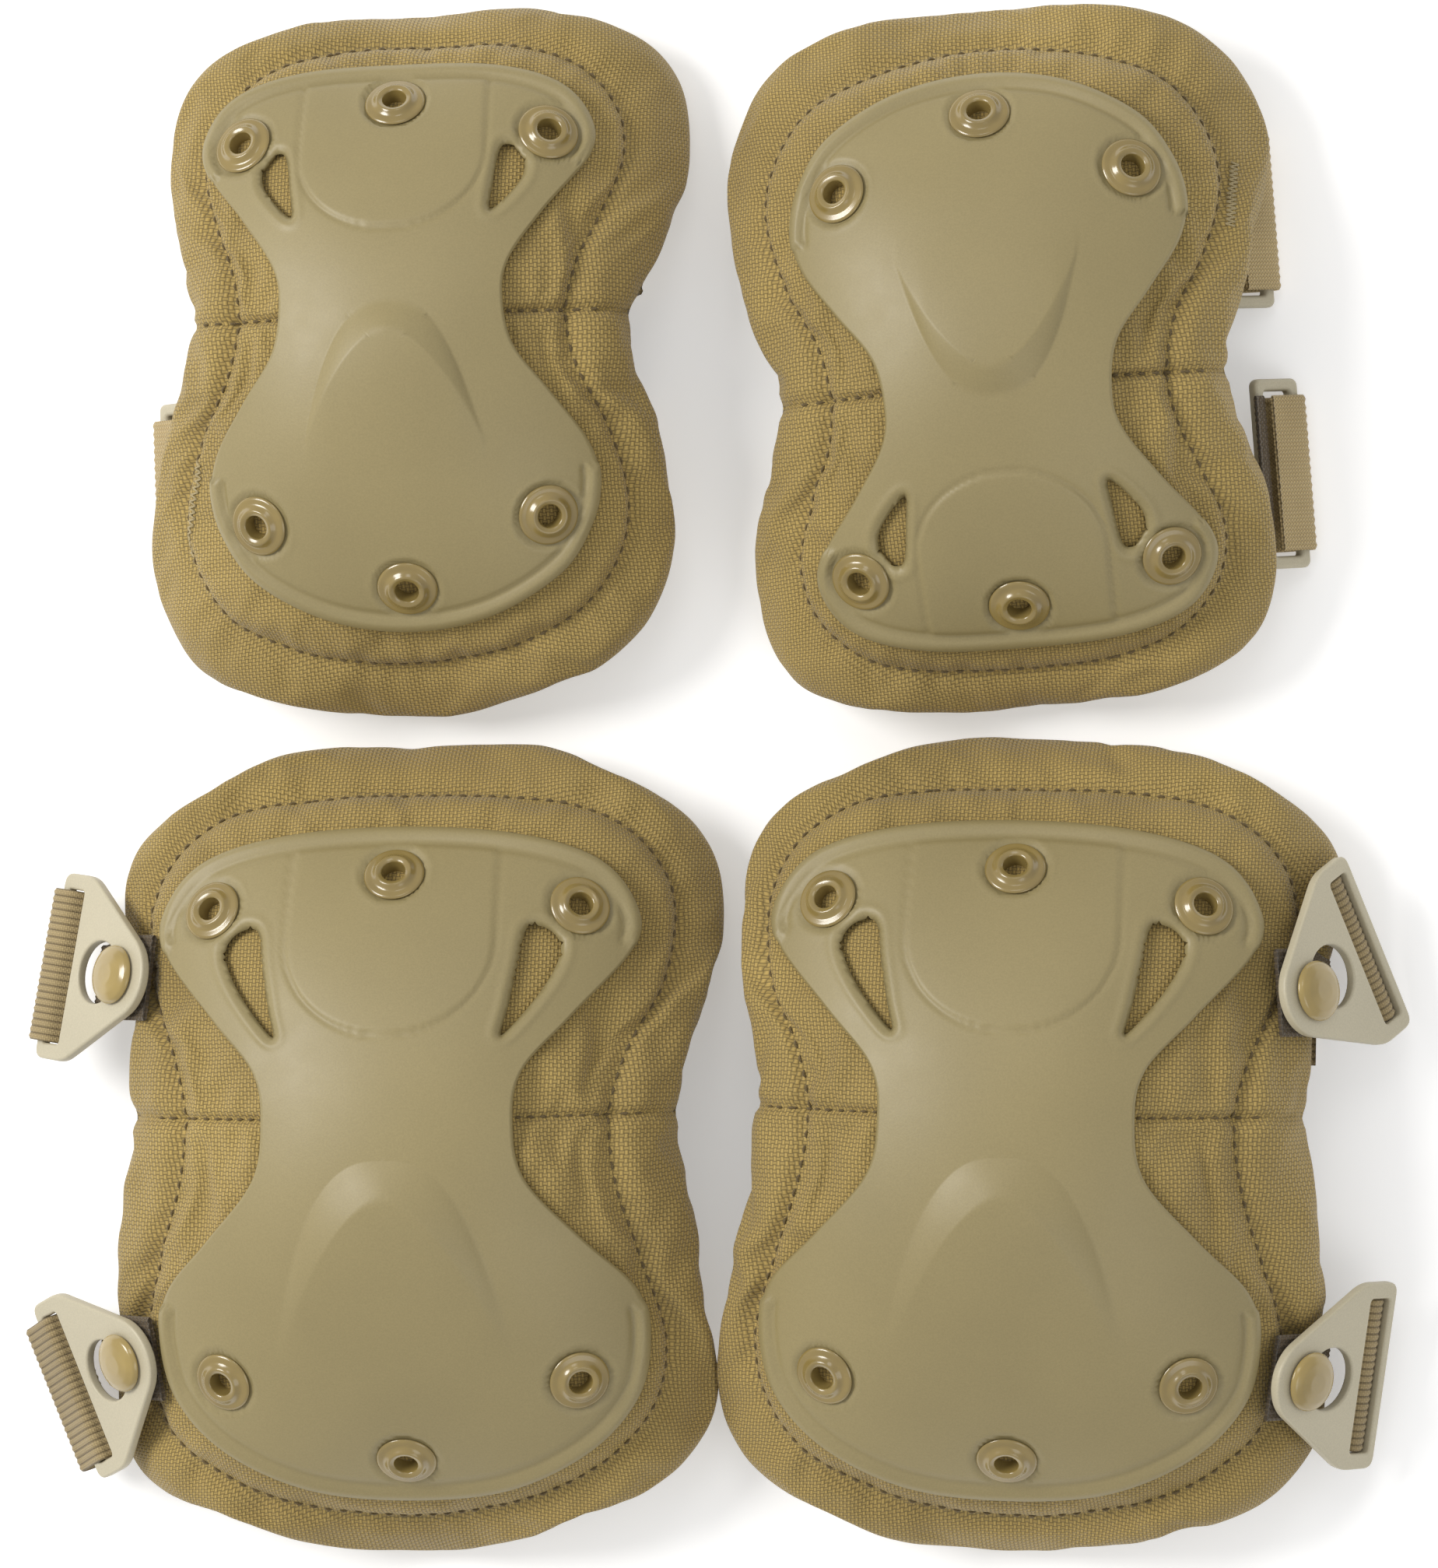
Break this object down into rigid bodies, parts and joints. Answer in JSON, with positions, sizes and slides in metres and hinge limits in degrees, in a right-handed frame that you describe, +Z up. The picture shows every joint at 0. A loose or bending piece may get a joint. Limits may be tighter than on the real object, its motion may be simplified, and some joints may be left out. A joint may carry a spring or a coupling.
{
  "type": "knee and elbow guard set",
  "caption": "Set of domed knee and elbow guards: hard hourglass caps riveted to padded fabric shells, with elastic straps that close by studs and keyhole clips or by rings.",
  "frame": {"origin": "middle of the footprint of the whole set, on the surface it lies on", "axes": "+Z up out of the caps, +Y from the knee guards towards the elbow guards, +X to the right"},
  "size_m": [0.4054, 0.4512, 0.0832],
  "materials": {
    "cap_plastic": "fine-grained moulded plastic, semi-matte",
    "clip_plastic": "smooth moulded plastic, semi-matte",
    "eyelet_metal": "glossy lacquer",
    "stud_metal": "glossy lacquer",
    "woven_cover": "coarse plain-weave nylon",
    "lining": "knitted mesh",
    "foam": "closed-cell foam",
    "webbing": "ribbed elastic webbing"
  },
  "bodies": {
    "knee_left_guard": {"knee_left_cap": "cap_plastic", "knee_left_eyelets": "eyelet_metal", "knee_left_eyelet_washers": "eyelet_metal", "knee_left_front_cover": "woven_cover", "knee_left_foam_core": "foam", "knee_left_back_lining": "lining", "knee_left_stud_tabs": "webbing", "knee_left_upper_strap": "webbing", "knee_left_lower_strap": "webbing"},
    "knee_right_guard": {"knee_right_cap": "cap_plastic", "knee_right_eyelets": "eyelet_metal", "knee_right_eyelet_washers": "eyelet_metal", "knee_right_front_cover": "woven_cover", "knee_right_foam_core": "foam", "knee_right_back_lining": "lining", "knee_right_stud_tabs": "webbing", "knee_right_upper_strap": "webbing", "knee_right_lower_strap": "webbing"},
    "elbow_left_guard": {"elbow_left_cap": "cap_plastic", "elbow_left_eyelets": "eyelet_metal", "elbow_left_eyelet_washers": "eyelet_metal", "elbow_left_front_cover": "woven_cover", "elbow_left_foam_core": "foam", "elbow_left_back_lining": "lining", "elbow_left_ring_tabs": "webbing", "elbow_left_upper_strap": "webbing", "elbow_left_lower_strap": "webbing"},
    "elbow_right_guard": {"elbow_right_cap": "cap_plastic", "elbow_right_eyelets": "eyelet_metal", "elbow_right_eyelet_washers": "eyelet_metal", "elbow_right_front_cover": "woven_cover", "elbow_right_foam_core": "foam", "elbow_right_back_lining": "lining", "elbow_right_ring_tabs": "webbing", "elbow_right_upper_strap": "webbing", "elbow_right_lower_strap": "webbing"},
    "knee_left_upper_pivot": {"knee_left_upper_stud": "stud_metal"},
    "knee_left_upper_buckle": {"knee_left_upper_clip": "clip_plastic", "knee_left_upper_strap_end": "webbing"},
    "knee_left_lower_pivot": {"knee_left_lower_stud": "stud_metal"},
    "knee_left_lower_buckle": {"knee_left_lower_clip": "clip_plastic", "knee_left_lower_strap_end": "webbing"},
    "knee_right_upper_pivot": {"knee_right_upper_stud": "stud_metal"},
    "knee_right_upper_buckle": {"knee_right_upper_clip": "clip_plastic", "knee_right_upper_strap_end": "webbing"},
    "knee_right_lower_pivot": {"knee_right_lower_stud": "stud_metal"},
    "knee_right_lower_buckle": {"knee_right_lower_clip": "clip_plastic", "knee_right_lower_strap_end": "webbing"},
    "elbow_left_upper_link": {"elbow_left_upper_ring": "clip_plastic", "elbow_left_upper_strap_end": "webbing"},
    "elbow_left_lower_link": {"elbow_left_lower_ring": "clip_plastic", "elbow_left_lower_strap_end": "webbing"},
    "elbow_right_upper_link": {"elbow_right_upper_ring": "clip_plastic", "elbow_right_upper_strap_end": "webbing"},
    "elbow_right_lower_link": {"elbow_right_lower_ring": "clip_plastic", "elbow_right_lower_strap_end": "webbing"}
  },
  "joints": [
    {"name": "knee_right_lift", "type": "slide", "parent": "knee_left_guard", "child": "knee_right_guard", "axis": [0, 0, 1], "range_m": [0, 0.06]},
    {"name": "elbow_left_lift", "type": "slide", "parent": "knee_left_guard", "child": "elbow_left_guard", "axis": [0, 0, 1], "range_m": [0, 0.06]},
    {"name": "elbow_right_lift", "type": "slide", "parent": "knee_left_guard", "child": "elbow_right_guard", "axis": [0, 0, 1], "range_m": [0, 0.06]},
    {"name": "knee_left_upper_swivel", "type": "hinge", "parent": "knee_left_guard", "child": "knee_left_upper_pivot", "pos_m": [-0.16925, -0.0569, 0.04077], "axis": [-0.6633, 0.1585, 0.7314], "range_deg": [-8, 8]},
    {"name": "knee_left_upper_release", "type": "slide", "parent": "knee_left_upper_pivot", "child": "knee_left_upper_buckle", "axis": [0.7306, -0.0744, 0.6787], "range_m": [0, 0.009]},
    {"name": "knee_left_lower_swivel", "type": "hinge", "parent": "knee_left_guard", "child": "knee_left_lower_pivot", "pos_m": [-0.16751, -0.16788, 0.03918], "axis": [-0.645, -0.2081, 0.7353], "range_deg": [-8, 8]},
    {"name": "knee_left_lower_release", "type": "slide", "parent": "knee_left_lower_pivot", "child": "knee_left_lower_buckle", "axis": [0.6548, 0.3456, 0.6722], "range_m": [0, 0.009]},
    {"name": "knee_right_upper_swivel", "type": "hinge", "parent": "knee_right_guard", "child": "knee_right_upper_pivot", "pos_m": [0.17246, -0.06004, 0.04175], "axis": [0.7772, 0.0991, 0.6214], "range_deg": [-8, 8]},
    {"name": "knee_right_upper_release", "type": "slide", "parent": "knee_right_upper_pivot", "child": "knee_right_upper_buckle", "axis": [-0.5251, -0.442, 0.7273], "range_m": [0, 0.009]},
    {"name": "knee_right_lower_swivel", "type": "hinge", "parent": "knee_right_guard", "child": "knee_right_lower_pivot", "pos_m": [0.17054, -0.17002, 0.03817], "axis": [0.7561, -0.1761, 0.6303], "range_deg": [-8, 8]},
    {"name": "knee_right_lower_release", "type": "slide", "parent": "knee_right_lower_pivot", "child": "knee_right_lower_buckle", "axis": [-0.6388, 0.0111, 0.7693], "range_m": [0, 0.009]},
    {"name": "elbow_left_upper_ring_hinge", "type": "hinge", "parent": "elbow_left_guard", "child": "elbow_left_upper_link", "pos_m": [-0.1396, 0.16066, 0.016], "axis": [0.0332, -0.9995, 0], "range_deg": [-20, 0]},
    {"name": "elbow_left_lower_ring_hinge", "type": "hinge", "parent": "elbow_left_guard", "child": "elbow_left_lower_link", "pos_m": [-0.15407, 0.08413, 0.015], "axis": [0.0332, -0.9995, 0], "range_deg": [-20, 0]},
    {"name": "elbow_right_upper_ring_hinge", "type": "hinge", "parent": "elbow_right_guard", "child": "elbow_right_upper_link", "pos_m": [0.15929, 0.08854, 0.015], "axis": [-0.0785, 0.9969, 0], "range_deg": [-20, 0]},
    {"name": "elbow_right_lower_ring_hinge", "type": "hinge", "parent": "elbow_right_guard", "child": "elbow_right_lower_link", "pos_m": [0.14884, 0.16396, 0.0142], "axis": [-0.0785, 0.9969, 0], "range_deg": [-20, 0]}
  ]
}
